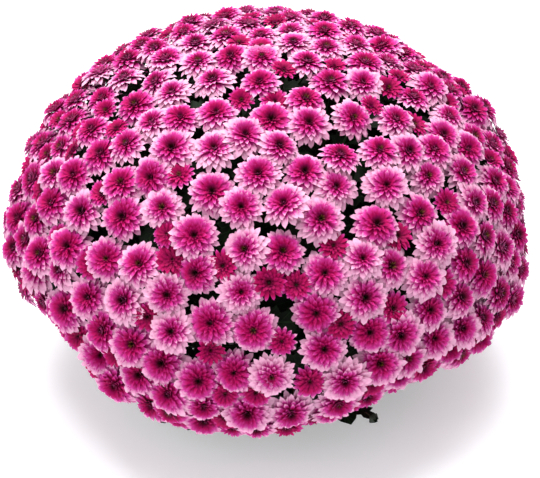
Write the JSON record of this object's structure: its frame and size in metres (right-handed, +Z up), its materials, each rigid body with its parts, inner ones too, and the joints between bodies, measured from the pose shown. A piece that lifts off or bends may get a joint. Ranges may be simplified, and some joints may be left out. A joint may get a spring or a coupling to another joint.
{
  "type": "pot chrysanthemum",
  "caption": "Dome-shaped potted chrysanthemum in full bloom: packed pink double blooms on leafy branching stems in a plain round nursery pot.",
  "frame": {"origin": "centre of the pot's flat base, on the surface it stands on", "axes": "+Z up along the pot's axis, -Y towards the side that faces the camera in the picture"},
  "size_m": [0.5235, 0.5261, 0.3711],
  "materials": {
    "petals": "matte",
    "foliage": "satin",
    "soil": "matte",
    "pot": "satin"
  },
  "bodies": {
    "root": {"pot": "pot", "soil": "soil", "plant_0_stems": "foliage", "plant_1_stems": "foliage", "plant_2_stems": "foliage", "plant_3_stems": "foliage", "plant_4_stems": "foliage", "plant_5_stems": "foliage", "plant_6_stems": "foliage", "spray_00_blooms": "petals", "spray_01_blooms": "petals", "spray_02_blooms": "petals", "spray_03_blooms": "petals", "spray_04_blooms": "petals", "spray_05_blooms": "petals", "spray_06_blooms": "petals", "spray_07_blooms": "petals", "spray_08_blooms": "petals", "spray_09_blooms": "petals", "spray_10_blooms": "petals", "spray_11_blooms": "petals", "spray_12_blooms": "petals", "spray_13_blooms": "petals", "spray_14_blooms": "petals", "spray_15_blooms": "petals", "spray_16_blooms": "petals", "spray_17_blooms": "petals", "spray_18_blooms": "petals"}
  },
  "joints": []
}
